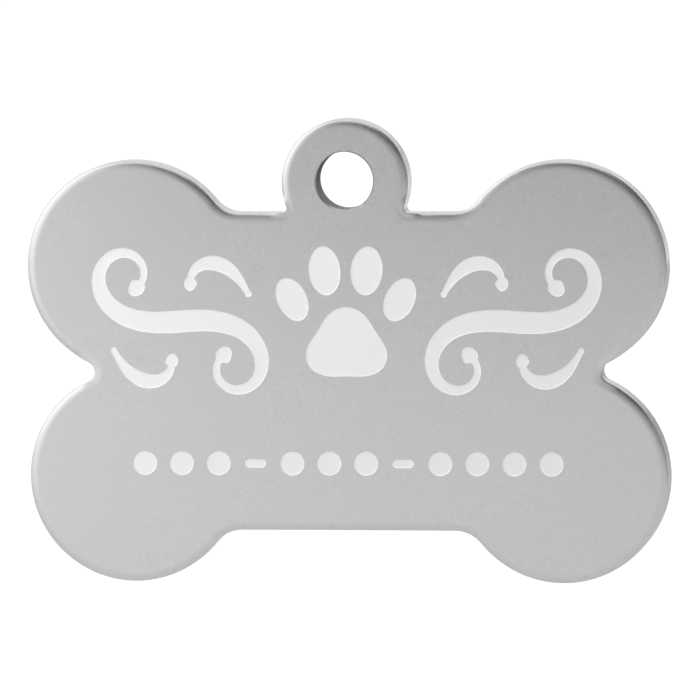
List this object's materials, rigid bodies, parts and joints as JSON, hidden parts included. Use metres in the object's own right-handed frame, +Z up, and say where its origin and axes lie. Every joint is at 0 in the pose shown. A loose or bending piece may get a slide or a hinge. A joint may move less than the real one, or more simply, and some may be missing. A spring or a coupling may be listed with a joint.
{
  "type": "pet id tag",
  "caption": "Bone-shaped flat metal pet tag that hangs by a ring through the round hole in its top lug, with a rolled front edge and a plain back.",
  "frame": {"origin": "centre of the ring hole, half way through the sheet, from which the tag hangs", "axes": "+X along the bone's length, +Y through the sheet from the face to the back, +Z up"},
  "size_m": [0.038, 0.002, 0.0273],
  "materials": {
    "satin_aluminium": "satin, with a faint lengthwise grain"
  },
  "bodies": {
    "root": {"tag_plate": "satin_aluminium"}
  },
  "joints": []
}
